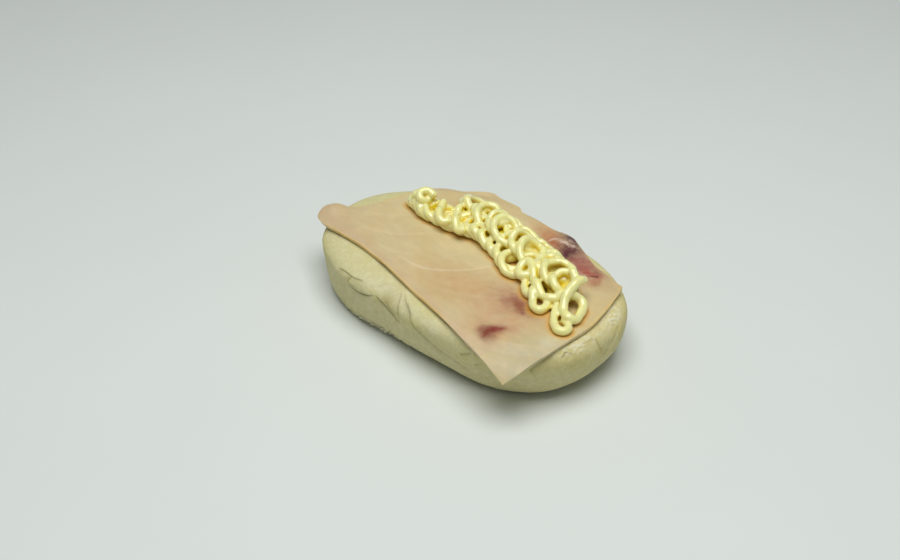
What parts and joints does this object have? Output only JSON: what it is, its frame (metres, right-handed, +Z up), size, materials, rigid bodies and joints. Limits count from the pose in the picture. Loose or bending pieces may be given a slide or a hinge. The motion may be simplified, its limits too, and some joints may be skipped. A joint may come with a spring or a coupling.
{
  "type": "open sandwich roll",
  "caption": "Open half of a pale soft bread roll, cut face up, topped with a thin slice of cured fish and a looped line of piped mayonnaise.",
  "frame": {"origin": "under the middle of the whole, on the surface it lies on", "axes": "+X along the roll towards the end where the slice's corner hangs over, +Y towards the side where the mayonnaise lies, +Z up"},
  "size_m": [0.1174, 0.072, 0.0329],
  "materials": {
    "pale_crust": "soft matt floured crust, pale cream",
    "cured_flesh": "moist, slightly see-through pale flesh with dark spots",
    "mayonnaise_gloss": "glossy pale yellow"
  },
  "bodies": {
    "root": {"bread_roll": "pale_crust", "cured_slice": "cured_flesh", "mayonnaise": "mayonnaise_gloss"}
  },
  "joints": []
}
